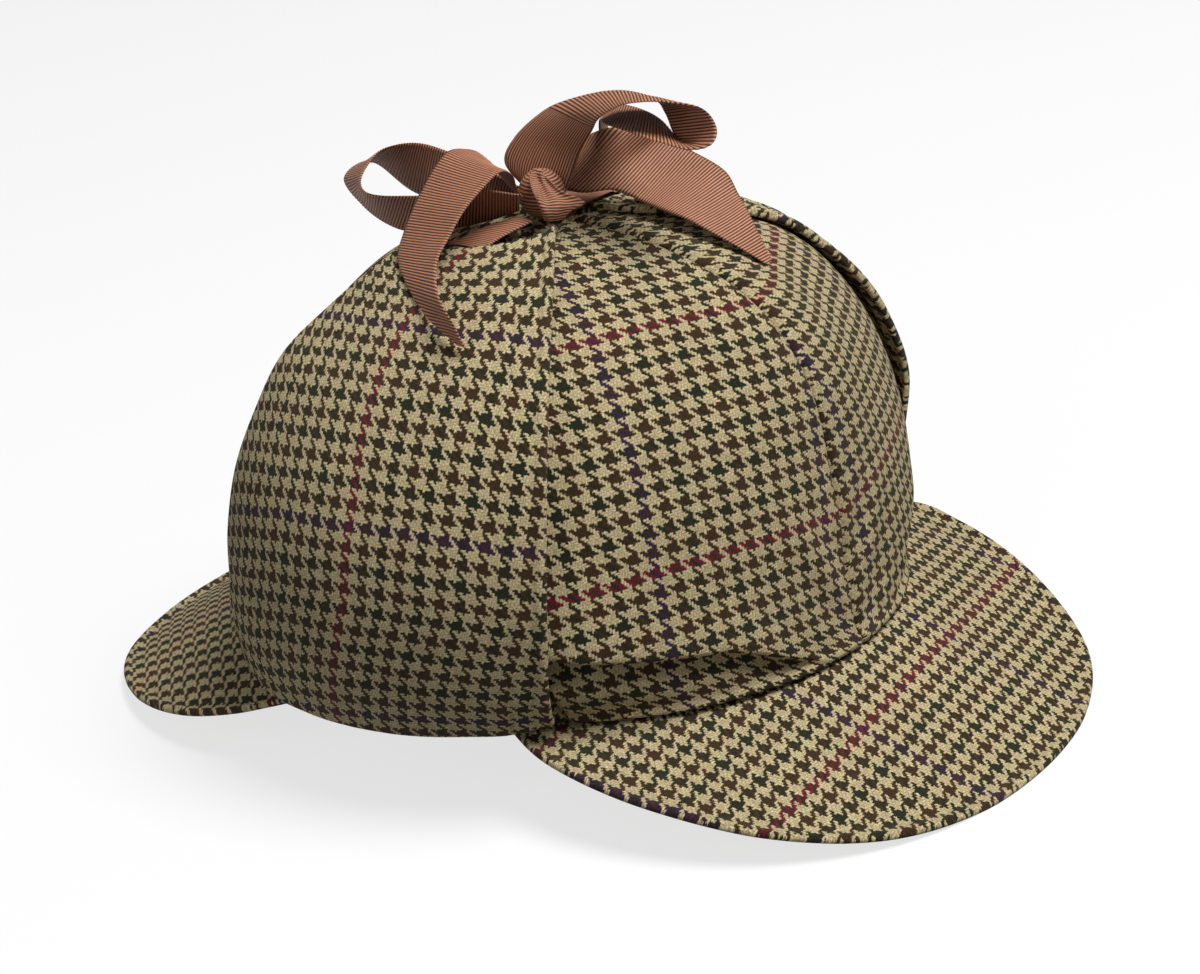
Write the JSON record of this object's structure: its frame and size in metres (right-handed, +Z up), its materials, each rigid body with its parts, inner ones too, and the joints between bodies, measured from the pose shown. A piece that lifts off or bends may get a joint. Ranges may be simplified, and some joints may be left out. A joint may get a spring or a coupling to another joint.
{
  "type": "deerstalker hat",
  "caption": "Deerstalker hat of checked wool tweed: rounded gored crown, stiff peaks front and back, and ear flaps tied up over the top with a ribbon bow.",
  "frame": {"origin": "on the surface that the hat rests on, below the middle of the hat", "axes": "+Z up, the front of the hat faces -Y, the wearer's left is +X"},
  "size_m": [0.228, 0.3201, 0.1879],
  "materials": {
    "tweed": "woollen twill in a small four-and-four check of cream, dark green and brown, with a fine overcheck",
    "ribbon": "ribbed brown grosgrain with a soft sheen"
  },
  "bodies": {
    "root": {"crown_front_right": "tweed", "crown_side_right": "tweed", "crown_back_right": "tweed", "crown_back_left": "tweed", "crown_side_left": "tweed", "crown_front_left": "tweed", "peak_front": "tweed", "peak_back": "tweed", "earflap_right": "tweed", "earflap_left": "tweed", "ribbon_knot": "ribbon", "ribbon_loop_right": "ribbon", "ribbon_loop_left": "ribbon", "ribbon_tail_right": "ribbon", "ribbon_tail_left": "ribbon", "ribbon_tie_right": "ribbon", "ribbon_tie_left": "ribbon"}
  },
  "joints": []
}
